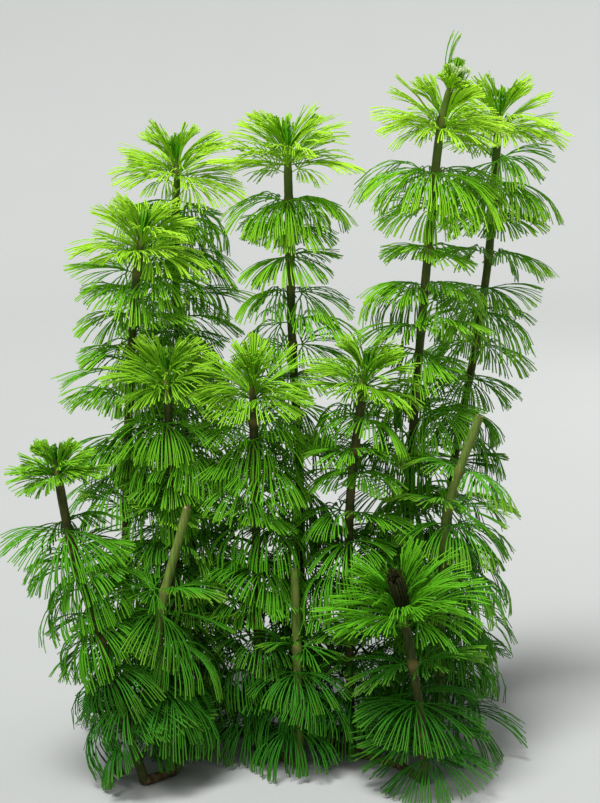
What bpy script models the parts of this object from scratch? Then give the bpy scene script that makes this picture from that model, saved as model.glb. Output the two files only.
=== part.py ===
"""A clump of carolina fanwort, cut off flat where it grew and standing on the cut.

Thirteen upright shoots grow from one creeping rootstock. Each shoot is a stem with pairs of fan leaves at its
joints. Ten shoots end in a bud inside a crown of young leaves, and three are trimmed stumps.
X is to the right, Y to the back and Z up. The origin is on the ground, under the foot of the middle shoot.
"""

import math
from collections import namedtuple

import bmesh
import bpy
from mathutils import Vector

MM = 0.001
GAP = 0.3 * MM

STEM_RADIUS = 1.8 * MM
BUD_RADIUS = 3.3 * MM
BUD_LENGTH = 11 * MM
STEM_STEP = 32 * MM
COLLAR_BORE = STEM_RADIUS + 1.5 * GAP
COLLAR_HEIGHT = 1.8 * MM
COLLAR_WALL = 1.2 * MM
LEAF_THICKNESS = 1.0 * MM
LEAF_MIDDLE = 0.55
CROWN_STEP = 6.5 * MM
UNEVEN_ANGLE = 2.0
UNEVEN_ANGLE_PACE = 7
UNEVEN_REACH = 0.04
UNEVEN_REACH_PACE = 5
PAIR_LEAN = 0.12
GOLDEN_TURN = math.radians(137.5)
RUNNER_RADIUS = 2.3 * MM
RUNNER_HEIGHT = 1.2 * MM
RUNNER_TAPER = 0.06
GROUND_SIZE = 400 * MM
GROUND_DEPTH = 20 * MM

# The bud's outline: height as a share of its length, and radius as a share of its widest.
BUD_OUTLINE = ((0.2, STEM_RADIUS / BUD_RADIUS), (0.5, 1.0), (0.85, 0.65), (1.0, 0.2))

# Half a fan, from its middle to its side: angle in degrees, and reach as a share of the length of the leaf.
HALF_FAN = ((0, 1.0), (42, 0.92), (84, 0.68))
HALF_FUNNEL = ((0, 1.0), (42, 0.82), (84, 0.9))
HALF_NARROW = ((0, 1.0), (30, 0.5), (78, 0.3))
ROUND_FAN = ((0, 0.95), (42, 1.0), (84, 0.92))

# How a leaf leaves the stem and how it ends: length, its slope in degrees at the stem and at the tip, and its fan.
Arch = namedtuple("Arch", "length start end fan")
FUNNEL = Arch(21 * MM, 62, 22, HALF_FUNNEL)
SPREAD = Arch(28 * MM, 34, -22, HALF_FAN)
ARCHED = Arch(29 * MM, 16, -48, HALF_FAN)
DRAPED = Arch(36 * MM, 14, -84, HALF_FAN)
LEVEL = Arch(26 * MM, 20, -16, HALF_FAN)
UNDER = Arch(29 * MM, 18, -56, ROUND_FAN)
UPRIGHT = Arch(26 * MM, 46, 86, HALF_NARROW)

# Each pair of leaves: height of its joint, heading of the pair in degrees, its arch, its size, the size of the
# leaf opposite as a share of the first, and how far under it each further pair on the same sleeve sits.
Pair = namedtuple("Pair", "height heading arch size other under", defaults=[1.0, ()])
# Each shoot: the points that its stem passes through, from the ground up, then the joint of its crown, the foot
# of its bud, the crown's heading and size, and its pairs of leaves. A stump has no crown.
Shoot = namedtuple("Shoot", "points crown bud heading size pairs")


def mm(*values):
    return Vector(values) * MM


SHOOTS = {
    "tall_front": Shoot(
        [(37, -2, 0), (44, -4, 120), (50, -5, 201), (54, -5, 243), (60, -5, 268)],
        245, 258, 0, 0.95,
        [
            Pair(256, 161, UPRIGHT, 1.0, 0.55),
            Pair(225, 350, DRAPED, 0.98, under=(14,)),
            Pair(196, 90, ARCHED, 0.9, under=(14,)),
            Pair(166, 0, ARCHED, 0.95, under=(11,)),
        ],
    ),
    "tall_back": Shoot(
        [(57, 32, 0), (63, 34, 100), (72, 36, 153), (77, 36, 192), (80, 35, 246)],
        243, 245, 0, 1.0,
        [
            Pair(219, 21, DRAPED, 0.95, under=(14,)),
            Pair(190, 0, ARCHED, 1.0, under=(14,)),
            Pair(153, -20, ARCHED, 0.95, under=(14,)),
            Pair(104, 70, LEVEL, 1.0, under=(14, 50)),
        ],
    ),
    "middle": Shoot(
        [(0, 0, 0), (0, 4, 100), (-3, 6, 157), (-4, 6, 196), (-5, 5, 240)],
        231, 233, 0, 1.0,
        [
            Pair(214, 0, DRAPED, 0.85, under=(11,)),
            Pair(192, 90, ARCHED, 0.95, under=(14,)),
            Pair(157, 0, ARCHED, 0.95, under=(14,)),
            Pair(112, 45, LEVEL, 1.0, under=(44,)),
        ],
    ),
    "left_back": Shoot(
        [(-42, 42, 0), (-47, 44, 100), (-51, 43, 180), (-50, 40, 232)],
        224, 226, 0, 1.0,
        [
            Pair(205, 90, ARCHED, 0.93, under=(14,)),
            Pair(170, 0, ARCHED, 1.0, under=(14,)),
            Pair(128, 60, LEVEL, 1.0, under=(14, 52)),
        ],
    ),
    "left_front": Shoot(
        [(-70, 2, 0), (-69, 2, 100), (-65, 1, 173), (-61, 0, 206)],
        198, 200, 0, 0.95,
        [
            Pair(186, 0, ARCHED, 1.0, under=(8,)),
            Pair(170, 0, ARCHED, 0.95, under=(14,)),
            Pair(136, 10, ARCHED, 0.95),
            Pair(92, 60, LEVEL, 0.95, under=(14, 44)),
        ],
    ),
    "left_low": Shoot(
        [(-45, -20, 0), (-49, -22, 90), (-51, -22, 154)],
        147, 149, 0, 0.9,
        [
            Pair(124, 0, ARCHED, 0.9, under=(14,)),
            Pair(96, 90, LEVEL, 0.9, under=(8,)),
        ],
    ),
    "centre_low": Shoot(
        [(-16, -24, 0), (-17, -28, 100), (-18, -30, 152)],
        145, 147, 90, 0.9,
        [
            Pair(133, 0, ARCHED, 0.9),
            Pair(98, 90, ARCHED, 0.9),
            Pair(56, 40, LEVEL, 0.95),
        ],
    ),
    "right_low": Shoot(
        [(20, -26, 0), (19, -28, 97), (25, -28, 155)],
        148, 150, -20, 0.85,
        [
            Pair(122, 60, ARCHED, 0.85, under=(10,)),
            Pair(97, -10, ARCHED, 0.9, under=(11,)),
            Pair(54, 60, LEVEL, 0.9, under=(14,)),
        ],
    ),
    "far_left": Shoot(
        [(-58, -60, 0), (-74, -58, 55), (-84, -58, 90), (-90, -58, 124)],
        119, 121, 0, 0.62,
        [
            Pair(90, 20, ARCHED, 0.85, under=(8,)),
            Pair(55, 0, ARCHED, 0.86),
        ],
    ),
    "dark_tip": Shoot(
        [(47, -60, 0), (46, -60, 19), (41, -60, 52), (36, -60, 75)],
        67, 69, 0, 1.15,
        [
            Pair(47, 0, LEVEL, 1.15, under=(14,)),
            Pair(19, 25, LEVEL, 1.05, under=(8,)),
        ],
    ),
    "stump_left": Shoot(
        [(-49, -50, 0), (-53, -50, 57), (-42, -50, 104)],
        None, None, 0, 1.0,
        [
            Pair(72, 0, LEVEL, 1.0),
            Pair(19, -55, LEVEL, 0.84),
        ],
    ),
    "stump_middle": Shoot(
        [(0, -40, 0), (-1, -40, 40), (-2, -40, 78)],
        None, None, 0, 1.0,
        [
            Pair(47, 0, LEVEL, 0.85),
        ],
    ),
    "stump_right": Shoot(
        [(55, -22, 0), (56, -22, 90), (60, -22, 108), (69, -22, 134)],
        None, None, 0, 1.0,
        [
            Pair(112, 0, ARCHED, 0.95),
            Pair(98, 30, LEVEL, 1.0),
        ],
    ),
}

# The runners of the rootstock, each as the points that it passes through on the ground.
RUNNERS = (
    [(-70, 2), (-40, -4), (0, 0), (37, -2), (57, 32)],
    [(-42, 42), (-38, 16), (-40, -4), (-45, -20), (-49, -50), (-58, -60)],
    [(0, 0), (-16, -24), (0, -40)],
    [(0, 0), (20, -26), (38, -42), (47, -60)],
    [(37, -2), (55, -22)],
)

STEM_GREEN = (0.085, 0.11, 0.02)
STUMP_OLIVE = (0.20, 0.17, 0.05)
ROOT_BROWN = (0.10, 0.075, 0.03)
DEEP_GREEN = Vector((0.02, 0.14, 0.02))
LIME_GREEN = Vector((0.22, 0.55, 0.05))
TOP_HEIGHT = 250 * MM


def material(name, colour, roughness):
    made = bpy.data.materials.new(name)
    made.use_nodes = True
    shader = made.node_tree.nodes["Principled BSDF"]
    shader.inputs["Base Color"].default_value = (*colour, 1)
    shader.inputs["Roughness"].default_value = roughness
    shader.inputs["Metallic"].default_value = 0
    return made


def leaf_material(name, height):
    """Leaves are deep green near the ground and lime green at the top."""
    share = min(1, height / TOP_HEIGHT)
    return material(name, DEEP_GREEN.lerp(LIME_GREEN, share), 0.45)


def add_object(name, data, collection, finish=None):
    made = bpy.data.objects.new(name, data)
    collection.objects.link(made)
    if finish:
        data.materials.append(finish)
    return made


def centre_line(points, height):
    """Where the stem's centre is at this height, and its direction there, on a smooth curve through the points."""
    places = [mm(*point) for point in points]
    slopes = []
    for i in range(len(places)):
        before = places[max(0, i - 1)]
        after = places[min(len(places) - 1, i + 1)]
        slopes.append((after - before) / (after.z - before.z))
    last = len(places) - 2
    i = min(last, max(0, sum(place.z <= height for place in places) - 1))
    start, end = places[i], places[i + 1]
    rise = end.z - start.z
    t = (height - start.z) / rise
    if t > 1:
        return end + slopes[i + 1] * (height - end.z), slopes[i + 1].normalized()
    place = (
        start * (2 * t**3 - 3 * t**2 + 1)
        + slopes[i] * rise * (t**3 - 2 * t**2 + t)
        + end * (3 * t**2 - 2 * t**3)
        + slopes[i + 1] * rise * (t**3 - t**2)
    )
    slope = (
        (end - start) / rise * (6 * t - 6 * t**2)
        + slopes[i] * (3 * t**2 - 4 * t + 1)
        + slopes[i + 1] * (3 * t**2 - 2 * t)
    )
    return place, slope.normalized()


def tube(name, places, radii, radius, collection):
    """A curve object along the places, with filled caps and six sides."""
    curve = bpy.data.curves.new(name, "CURVE")
    curve.dimensions = "3D"
    curve.bevel_depth = radius
    curve.bevel_resolution = 1
    curve.use_fill_caps = True
    spline = curve.splines.new("POLY")
    spline.points.add(len(places) - 1)
    for point, place, share in zip(spline.points, places, radii):
        point.co = (*place, 1)
        point.radius = share
    return add_object(name, curve, collection)


def as_mesh(tube_object, collection, finish=None):
    """The curve object as a mesh object of the same name, with its caps welded."""
    name = tube_object.name
    graph = bpy.context.evaluated_depsgraph_get()
    mesh = bpy.data.meshes.new_from_object(tube_object.evaluated_get(graph))
    bpy.data.objects.remove(tube_object)
    sheet = bmesh.new()
    sheet.from_mesh(mesh)
    bmesh.ops.remove_doubles(sheet, verts=sheet.verts, dist=0.01 * MM)
    sheet.to_mesh(mesh)
    sheet.free()
    mesh.materials.clear()
    mesh.name = name
    return add_object(name, mesh, collection, finish)


def shade(made, angle=40):
    made.data.shade_smooth()
    made.data.set_sharp_from_angle(angle=math.radians(angle))


def add_stem(name, shoot, collection):
    """The stem with its closed bud, or with a flat cut top on a stump. It stands on the rootstock."""
    foot = RUNNER_HEIGHT + RUNNER_RADIUS + GAP
    joints = [pair.height * MM for pair in shoot.pairs]
    if shoot.crown:
        joints.append(shoot.crown * MM)
        bud = shoot.bud * MM
        tip = [(bud + share * BUD_LENGTH, wide * BUD_RADIUS / STEM_RADIUS) for share, wide in BUD_OUTLINE]
    else:
        tip = [(shoot.points[-1][2] * MM, 1.0)]
    heights = [foot]
    for height in [*sorted(joints), tip[0][0]]:
        start = heights[-1]
        spans = max(1, round((height - start) / STEM_STEP))
        heights += [start + (height - start) * (k + 1) / spans for k in range(spans)]
    rings = [(height, 1.0) for height in heights[:-1]] + tip
    places = [centre_line(shoot.points, height)[0] for height, _ in rings]
    radii = [share for _, share in rings]
    finish = material(f"{name} skin", STEM_GREEN if shoot.crown else STUMP_OLIVE, 0.5)
    made = as_mesh(tube(name, places, radii, STEM_RADIUS, collection), collection, finish)
    shade(made)
    return made


def arch_point(arch, size, along):
    """Distance from the stem and height over the joint, and the slope, at this distance along an arched leaf."""
    length = arch.length * size
    start, end = math.radians(arch.start), math.radians(arch.end)
    slope = start + (end - start) * along / length
    radius = length / (start - end)
    return radius * (math.sin(start) - math.sin(slope)), radius * (math.cos(slope) - math.cos(start)), slope


def blade_points(arch, size, reach, drop=0.0):
    """Upper middle, tip and lower middle of a leaf's section, which reaches this share of the leaf's length."""
    along = arch.length * size * reach
    out, up, slope = arch_point(arch, size, max(LEAF_MIDDLE * along, 2 * COLLAR_BORE))
    half = LEAF_THICKNESS / 2
    side = (half * math.sin(slope), half * math.cos(slope))
    tip_out, tip_up, _ = arch_point(arch, size, along)
    return [
        (out - side[0], up + side[1] - drop),
        (tip_out, tip_up - drop),
        (out + side[0], up - side[1] - drop),
    ]


def pair_section(pair, reach, under_reach):
    """The closed section of a pair of leaves in one direction, as distances from the stem and heights.

    The pairs under it share its sleeve.
    """
    half = COLLAR_HEIGHT / 2
    wall = COLLAR_BORE + COLLAR_WALL
    section = [(COLLAR_BORE, half), *blade_points(pair.arch, pair.size, reach)]
    foot = -half
    for under in pair.under:
        drop = under * MM
        section += [(wall, foot), (wall, half - drop), *blade_points(UNDER, pair.size, under_reach, drop)]
        foot = -half - drop
    return [*section, (COLLAR_BORE, foot)]


def crown_section(size, top_reach, low_reach):
    """The same for a crown: the funnel of young leaves over the first spread pair, on one sleeve."""
    half = COLLAR_HEIGHT / 2
    step = CROWN_STEP * size
    return [
        (COLLAR_BORE, half),
        *blade_points(FUNNEL, size, top_reach),
        (COLLAR_BORE + COLLAR_WALL, -half - step / 3),
        *blade_points(SPREAD, size, low_reach, step),
        (COLLAR_BORE, -half - step),
    ]


def fan_stations(half_fan, other=1.0):
    """Angles in degrees round the stem, each with its reach, for two uneven fans that face opposite ways."""
    one_side = [(-angle, reach) for angle, reach in reversed(half_fan[1:])] + list(half_fan)
    even = one_side + [(angle + 180, reach * other) for angle, reach in one_side]
    return [
        (
            angle + UNEVEN_ANGLE * math.sin(UNEVEN_ANGLE_PACE * k),
            reach * (1 - UNEVEN_REACH * math.sin(UNEVEN_REACH_PACE * k) ** 2),
        )
        for k, (angle, reach) in enumerate(even)
    ]


def loft_round(name, angles, sections, place, direction, heading, collection, finish):
    """A closed solid from one section for each angle round the stem.

    Every face is split from its outer corner to the next section's inner one, above as below, so that the two
    skins of a thin leaf never pass through each other.
    """
    turn = direction.to_track_quat("Z", "Y").to_matrix()
    flat = turn.inverted() @ Vector((math.cos(heading), math.sin(heading), 0))
    base = math.atan2(flat.y, flat.x)
    sheet = bmesh.new()
    rings = []
    for angle, section in zip(angles, sections):
        around = base + math.radians(angle)
        ring = [Vector((out * math.cos(around), out * math.sin(around), up)) for out, up in section]
        rings.append([sheet.verts.new(place + turn @ point) for point in ring])
    for ring, after in zip(rings, rings[1:] + rings[:1]):
        for k in range(len(ring)):
            following = (k + 1) % len(ring)
            near, far, far_after, near_after = ring[k], ring[following], after[following], after[k]
            if sections[0][k][0] < sections[0][following][0]:
                sheet.faces.new((near, far, near_after))
                sheet.faces.new((far, far_after, near_after))
            else:
                sheet.faces.new((near, far, far_after))
                sheet.faces.new((near, far_after, near_after))
    mesh = bpy.data.meshes.new(name)
    sheet.to_mesh(mesh)
    sheet.free()
    made = add_object(name, mesh, collection, finish)
    shade(made, 60)
    return made


def leaning(direction, height):
    """The direction, leaned a little to a side that turns with height, because no pair sits quite square."""
    turn = GOLDEN_TURN * height / MM
    return (direction + PAIR_LEAN * Vector((math.cos(turn), math.sin(turn), 0))).normalized()


def add_pair(name, shoot, pair, collection):
    place, direction = centre_line(shoot.points, pair.height * MM)
    if pair.under:
        direction = (place - centre_line(shoot.points, (pair.height - pair.under[-1]) * MM)[0]).normalized()
    else:
        direction = leaning(direction, pair.height * MM)
    stations = fan_stations(pair.arch.fan, pair.other)
    under = fan_stations(UNDER.fan)
    sections = [pair_section(pair, upper[1], lower[1]) for upper, lower in zip(stations, under)]
    angles = [angle for angle, _ in stations]
    finish = leaf_material(f"{name} green", place.z)
    return loft_round(name, angles, sections, place, direction, math.radians(pair.heading), collection, finish)


def add_crown(name, shoot, collection):
    place, direction = centre_line(shoot.points, shoot.crown * MM)
    low = fan_stations(SPREAD.fan)
    top = fan_stations(FUNNEL.fan)
    sections = [crown_section(shoot.size, upper[1], lower[1]) for upper, lower in zip(top, low)]
    angles = [angle for angle, _ in low]
    finish = leaf_material(f"{name} green", place.z)
    return loft_round(name, angles, sections, place, direction, math.radians(shoot.heading), collection, finish)


def add_rootstock(collection, cutters):
    """The runners joined in one solid and cut off flat where they lie on the ground."""
    tubes = []
    for i, route in enumerate(RUNNERS):
        places = [Vector((x * MM, y * MM, RUNNER_HEIGHT)) for x, y in route]
        first = i == 0
        name = "rootstock" if first else f"runner_{i}"
        home = collection if first else cutters
        thinner = 1 - RUNNER_TAPER * i
        run = tube(name, places, [thinner] * len(places), RUNNER_RADIUS, home)
        tubes.append(as_mesh(run, home, material("rootstock bark", ROOT_BROWN, 0.7) if first else None))
    made = tubes[0]
    for helper in tubes[1:]:
        hide_helper(helper)
        join = made.modifiers.new(f"join {helper.name}", "BOOLEAN")
        join.operation = "UNION"
        join.object = helper
    cut = made.modifiers.new("cut flat", "BOOLEAN")
    cut.operation = "DIFFERENCE"
    cut.object = ground_cutter(cutters)
    return made


def ground_cutter(cutters):
    """A flat box under the ground's level."""
    bpy.ops.mesh.primitive_cube_add(size=1, location=(0, 0, -GROUND_DEPTH / 2))
    ground = bpy.context.object
    ground.name = "ground_cutter"
    ground.scale = (GROUND_SIZE, GROUND_SIZE, GROUND_DEPTH)
    bpy.ops.object.transform_apply(location=True, rotation=True, scale=True)
    for home in list(ground.users_collection):
        home.objects.unlink(ground)
    cutters.objects.link(ground)
    hide_helper(ground)
    return ground


def hide_helper(helper):
    helper.hide_render = True
    helper.display_type = "WIRE"


def main():
    for old in list(bpy.data.objects):
        bpy.data.objects.remove(old)
    collection = bpy.data.collections.new("carolina_fanwort")
    cutters = bpy.data.collections.new("cutters")
    for made in (collection, cutters):
        bpy.context.scene.collection.children.link(made)
    cutters.hide_render = True
    add_rootstock(collection, cutters)
    for name, shoot in SHOOTS.items():
        add_stem(f"stem_{name}", shoot, collection)
        if shoot.crown:
            add_crown(f"crown_{name}", shoot, collection)
        for i, pair in enumerate(shoot.pairs):
            add_pair(f"leaves_{name}_{i + 1}", shoot, pair, collection)


main()
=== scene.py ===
import math
import random
from collections import namedtuple

import bpy
import numpy as np
from bpy.props import FloatProperty, FloatVectorProperty, IntProperty, PointerProperty
from mathutils import Matrix, Vector


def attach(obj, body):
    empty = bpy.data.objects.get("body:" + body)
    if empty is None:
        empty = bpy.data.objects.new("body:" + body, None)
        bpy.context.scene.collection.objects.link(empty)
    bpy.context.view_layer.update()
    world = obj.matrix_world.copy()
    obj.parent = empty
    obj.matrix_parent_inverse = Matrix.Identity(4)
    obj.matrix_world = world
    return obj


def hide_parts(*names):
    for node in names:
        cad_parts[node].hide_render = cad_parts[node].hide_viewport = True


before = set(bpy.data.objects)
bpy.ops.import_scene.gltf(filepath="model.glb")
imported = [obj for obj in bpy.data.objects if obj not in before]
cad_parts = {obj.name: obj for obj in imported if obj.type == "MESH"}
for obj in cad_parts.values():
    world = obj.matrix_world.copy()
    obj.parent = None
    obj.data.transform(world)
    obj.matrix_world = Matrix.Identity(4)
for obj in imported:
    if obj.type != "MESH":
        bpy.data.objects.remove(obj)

bl_info = {
    "name": "Carolina fanwort",
    "version": (1, 0, 0),
    "blender": (4, 5, 0),
    "location": "3D View > Sidebar > Fanwort",
    "description": "Grows the leaves, stems and buds of a clump of carolina fanwort over its plain solids",
    "category": "Add Mesh",
}

MM = 0.001
BODY = "root"
LEAF_TREE = "fan leaves"
STEM_TREE = "stem"

# The stems, how far the pairs lean on them, and the runners, as the plain solids have them.
STEM_RADIUS = 1.8 * MM
PAIR_LEAN = 0.12
GOLDEN_TURN = math.radians(137.5)
RUNNER_RADIUS = 2.3 * MM
RUNNER_HEIGHT = 1.2 * MM
RUNNER_TAPER = 0.06

# An arch: the leaf's length from the stem's centre, and its slope in degrees at the stem and at the tip.
Arch = namedtuple("Arch", "length start end")
FUNNEL = Arch(23 * MM, 66, 24)
SPREAD = Arch(28 * MM, 34, -22)
ARCHED = Arch(29 * MM, 16, -48)
DRAPED = Arch(36 * MM, 14, -84)
LEVEL = Arch(26 * MM, 20, -16)
UPRIGHT = Arch(26 * MM, 46, 86)
UNDER = Arch(29 * MM, 18, -56)
OPENING = Arch(26 * MM, 50, -4)
BETWEEN = Arch(34 * MM, 24, -84)
INNER = Arch(17 * MM, 74, 36)
FOLDED = Arch(13 * MM, 68, 118)
SWOLLEN = Arch(15 * MM, 42, 138)

# A pair of leaves: its joint's height, its first leaf's heading in degrees, its arch and size, how far under
# it each further pair of its solid sits, and its second leaf's size as a share of the first's.
Pair = namedtuple("Pair", "height heading arch size under other", defaults=[(), 1.0])

# A shoot: its centre line's points, the heights of its crown's joint and of its bud's foot, its crown's
# heading and size, and its pairs. The lengths in a pair and in a shoot are in millimetres.
Shoot = namedtuple("Shoot", "points crown bud heading size pairs")

SHOOTS = {
    "tall_front": Shoot(
        [(37, -2, 0), (44, -4, 120), (50, -5, 201), (54, -5, 243), (60, -5, 268)],
        245, 258, 0, 0.95,
        [
            Pair(256, 161, UPRIGHT, 1.0, other=0.55),
            Pair(225, 350, DRAPED, 0.98, (14,)),
            Pair(196, 90, ARCHED, 0.9, (14,)),
            Pair(166, 0, ARCHED, 0.95, (11,)),
        ],
    ),
    "tall_back": Shoot(
        [(57, 32, 0), (63, 34, 100), (72, 36, 153), (77, 36, 192), (80, 35, 246)],
        243, 245, 0, 1.0,
        [
            Pair(219, 21, DRAPED, 0.95, (14,)),
            Pair(190, 0, ARCHED, 1.0, (14,)),
            Pair(153, -20, ARCHED, 0.95, (14,)),
            Pair(104, 70, LEVEL, 1.0, (14, 50)),
        ],
    ),
    "middle": Shoot(
        [(0, 0, 0), (0, 4, 100), (-3, 6, 157), (-4, 6, 196), (-5, 5, 240)],
        231, 233, 0, 1.0,
        [
            Pair(214, 0, DRAPED, 0.85, (11,)),
            Pair(192, 90, ARCHED, 0.95, (14,)),
            Pair(157, 0, ARCHED, 0.95, (14,)),
            Pair(112, 45, LEVEL, 1.0, (44,)),
        ],
    ),
    "left_back": Shoot(
        [(-42, 42, 0), (-47, 44, 100), (-51, 43, 180), (-50, 40, 232)],
        224, 226, 0, 1.0,
        [
            Pair(205, 90, ARCHED, 0.93, (14,)),
            Pair(170, 0, ARCHED, 1.0, (14,)),
            Pair(128, 60, LEVEL, 1.0, (14, 52)),
        ],
    ),
    "left_front": Shoot(
        [(-70, 2, 0), (-69, 2, 100), (-65, 1, 173), (-61, 0, 206)],
        198, 200, 0, 0.95,
        [
            Pair(186, 0, ARCHED, 1.0, (8,)),
            Pair(170, 0, ARCHED, 0.95, (14,)),
            Pair(136, 10, ARCHED, 0.95),
            Pair(92, 60, LEVEL, 0.95, (14, 44)),
        ],
    ),
    "left_low": Shoot(
        [(-45, -20, 0), (-49, -22, 90), (-51, -22, 154)],
        147, 149, 0, 0.9,
        [
            Pair(124, 0, ARCHED, 0.9, (14,)),
            Pair(96, 90, LEVEL, 0.9, (8,)),
        ],
    ),
    "centre_low": Shoot(
        [(-16, -24, 0), (-17, -28, 100), (-18, -30, 152)],
        145, 147, 90, 0.9,
        [
            Pair(133, 0, ARCHED, 0.9),
            Pair(98, 90, ARCHED, 0.9),
            Pair(56, 40, LEVEL, 0.95),
        ],
    ),
    "right_low": Shoot(
        [(20, -26, 0), (19, -28, 97), (25, -28, 155)],
        148, 150, -20, 0.85,
        [
            Pair(122, 60, ARCHED, 0.85, (10,)),
            Pair(97, -10, ARCHED, 0.9, (11,)),
            Pair(54, 60, LEVEL, 0.9, (14,)),
        ],
    ),
    "far_left": Shoot(
        [(-58, -60, 0), (-74, -58, 55), (-84, -58, 90), (-90, -58, 124)],
        119, 121, 0, 0.62,
        [
            Pair(90, 20, ARCHED, 0.85, (8,)),
            Pair(55, 0, ARCHED, 0.86),
        ],
    ),
    "dark_tip": Shoot(
        [(47, -60, 0), (46, -60, 19), (41, -60, 52), (36, -60, 75)],
        67, 69, 0, 1.15,
        [
            Pair(47, 0, LEVEL, 1.15, (14,)),
            Pair(19, 25, LEVEL, 1.05, (8,)),
        ],
    ),
    "stump_left": Shoot(
        [(-49, -50, 0), (-53, -50, 57), (-42, -50, 104)],
        None, None, 0, 1.0,
        [
            Pair(72, 0, LEVEL, 1.0),
            Pair(19, -55, LEVEL, 0.84),
        ],
    ),
    "stump_middle": Shoot(
        [(0, -40, 0), (-1, -40, 40), (-2, -40, 78)],
        None, None, 0, 1.0,
        [
            Pair(47, 0, LEVEL, 0.85),
        ],
    ),
    "stump_right": Shoot(
        [(55, -22, 0), (56, -22, 90), (60, -22, 108), (69, -22, 134)],
        None, None, 0, 1.0,
        [
            Pair(112, 0, ARCHED, 0.95),
            Pair(98, 30, LEVEL, 1.0),
        ],
    ),
}

# The runners of the rootstock, each as its points on the ground, in millimetres.
RUNNERS = (
    [(-70, 2), (-40, -4), (0, 0), (37, -2), (57, 32)],
    [(-42, 42), (-38, 16), (-40, -4), (-45, -20), (-49, -50), (-58, -60)],
    [(0, 0), (-16, -24), (0, -40)],
    [(0, 0), (20, -26), (38, -42), (47, -60)],
    [(37, -2), (55, -22)],
)

# The leaf pairs that stand in the shade at the foot of the clump, whose darker green is painted shade.
LOW_LEAVES = (
    "dark_tip_1", "dark_tip_2", "far_left_2", "stump_left_1", "stump_left_2", "stump_middle_1",
    "stump_right_1", "stump_right_2", "right_low_3", "centre_low_3", "left_low_2", "left_front_4",
    "left_back_3", "middle_4", "tall_back_4",
)

# A fan: its stalk as a share of the leaf's length, half its opening in degrees, how many rays leave the
# stalk, and where along the fan's radius each ray forks.
Fan = namedtuple("Fan", "stalk opening rays forks")
FULL_FAN = Fan(0.14, 104, 5, (0.09, 0.2, 0.33, 0.5))
YOUNG_FAN = Fan(0.1, 46, 5, (0.12, 0.3, 0.5))
NARROW_FAN = Fan(0.2, 20, 3, (0.25, 0.5))
BUD_FAN = Fan(0.12, 26, 4, (0.25, 0.55))

# The girths of the stalk, of a ray from fork to fork, and of a free tip, as shares of a segment's own.
STALK_GIRTH = 1.9
FORK_GIRTHS = (1.45, 1.25, 1.1, 1.0, 0.9)
TIP_GIRTH = 1.1
TIP_STEPS = 3

# How many of the rays leave out the last fork, and how many tips are broken short.
UNFORKED_SHARE = 0.4
SHORT_SHARE = 0.03

# Between which shares of their full reach the tips, the short tips and the forks end, and how much shorter
# the outermost tips of a fan are.
TIP_REACH = (0.93, 1.0)
SHORT_REACH = (0.6, 0.85)
FORK_REACH = (0.85, 1.15)
EDGE_ROUNDING = 0.1

# How far a ray and its parts stray sideways, as shares of their room, and how much of its angle a ray has
# where it leaves the stalk.
RAY_STRAY = 0.1
FORK_STRAY = 0.05
RAY_START = 0.8

# How far the two parts of a ray stand apart after each fork, as a share of an even spread, and how steeply
# each part may rise or fall from the leaf's sheet.
BUNCHING = (0.98, 0.94, 0.9, 0.84)
RAY_LIFTS = (0.16, 0.11, 0.08, 0.05, 0.04)

# How much of a tier's variety goes into a leaf's size, its roll, and its slopes at its stem and its tip.
SIZE_VARIETY = 0.3
ROLL_VARIETY = 1.6
START_VARIETY = 1.0
END_VARIETY = 1.6

# How far apart two leaves and two seeds lie in the waves that bend the segments together.
WAVE_STEPS = (0.31, 0.173, 0.071)

# What hangs lower than this is pressed together over the ground.
GROUND_ROOM = 4 * MM

# A tier of leaves in a crown: its size as a share of the crown's, how many leaves it has, its turn in
# radians, and how many millimetres above its joint it sits.
Tier = namedtuple("Tier", "fan arch size leaves turn rise")
CROWN_WIDTH = 1.12
LOWEST_CROWN_TIER = -6.5
FUNNEL_TURN = 0.34
CROWN_TIERS = (
    Tier(YOUNG_FAN, FUNNEL, 1.0, 2, -FUNNEL_TURN, 0),
    Tier(YOUNG_FAN, FUNNEL, 1.0, 2, FUNNEL_TURN, 1),
    Tier(FULL_FAN, SPREAD, CROWN_WIDTH, 2, 0, LOWEST_CROWN_TIER),
    Tier(FULL_FAN, SPREAD, 0.94 * CROWN_WIDTH, 2, math.pi / 2, -4.5),
    Tier(YOUNG_FAN, OPENING, CROWN_WIDTH, 4, 0.5, -3),
    Tier(YOUNG_FAN, INNER, 1.0, 2, 0, 3),
)

# The folded leaves of a bud, those round a bud that stands this far clear of its crown in millimetres, and
# those that swell the eaten bud.
BUD_TIERS = (
    Tier(BUD_FAN, FOLDED, 1.0, 4, 0, 0),
    Tier(BUD_FAN, FOLDED, 0.85, 5, math.pi / 4, 1.5),
)
CLEAR_BUD = 6
CLEAR_BUD_TIERS = (
    Tier(YOUNG_FAN, INNER, 0.6, 5, 0, 0),
    Tier(YOUNG_FAN, FUNNEL, 0.45, 6, 0, -2),
)
EATEN_BUD = "dark_tip"
EATEN_BUD_TIERS = (
    Tier(BUD_FAN, SWOLLEN, 1.0, 9, 0, -3),
)

# The fine pairs between those of the solids: how many millimetres apart, closer on crowded shoots, the height
# of the lowest, the degrees by which each turns from the one above, and how far each strays.
FILLER_GAP = 10.5
CROWDED_GAP = 8
CROWDED = ("left_low", "left_back", "centre_low")
LOWEST_JOINT = 8
FILLER_TURN = 80
FILLER_STRAY = 0.22

# How much the leaves of a tier differ from each other.
CROWN_VARIETY = 0.22
PAIR_VARIETY = 0.2
FILLER_VARIETY = 0.36

# How far apart the seeds of two shoots, of two pairs, and of a pair and its fine pairs are.
SHOOT_SEED = 100
PAIR_SEED = 20
FILLER_SEED = 5

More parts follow.
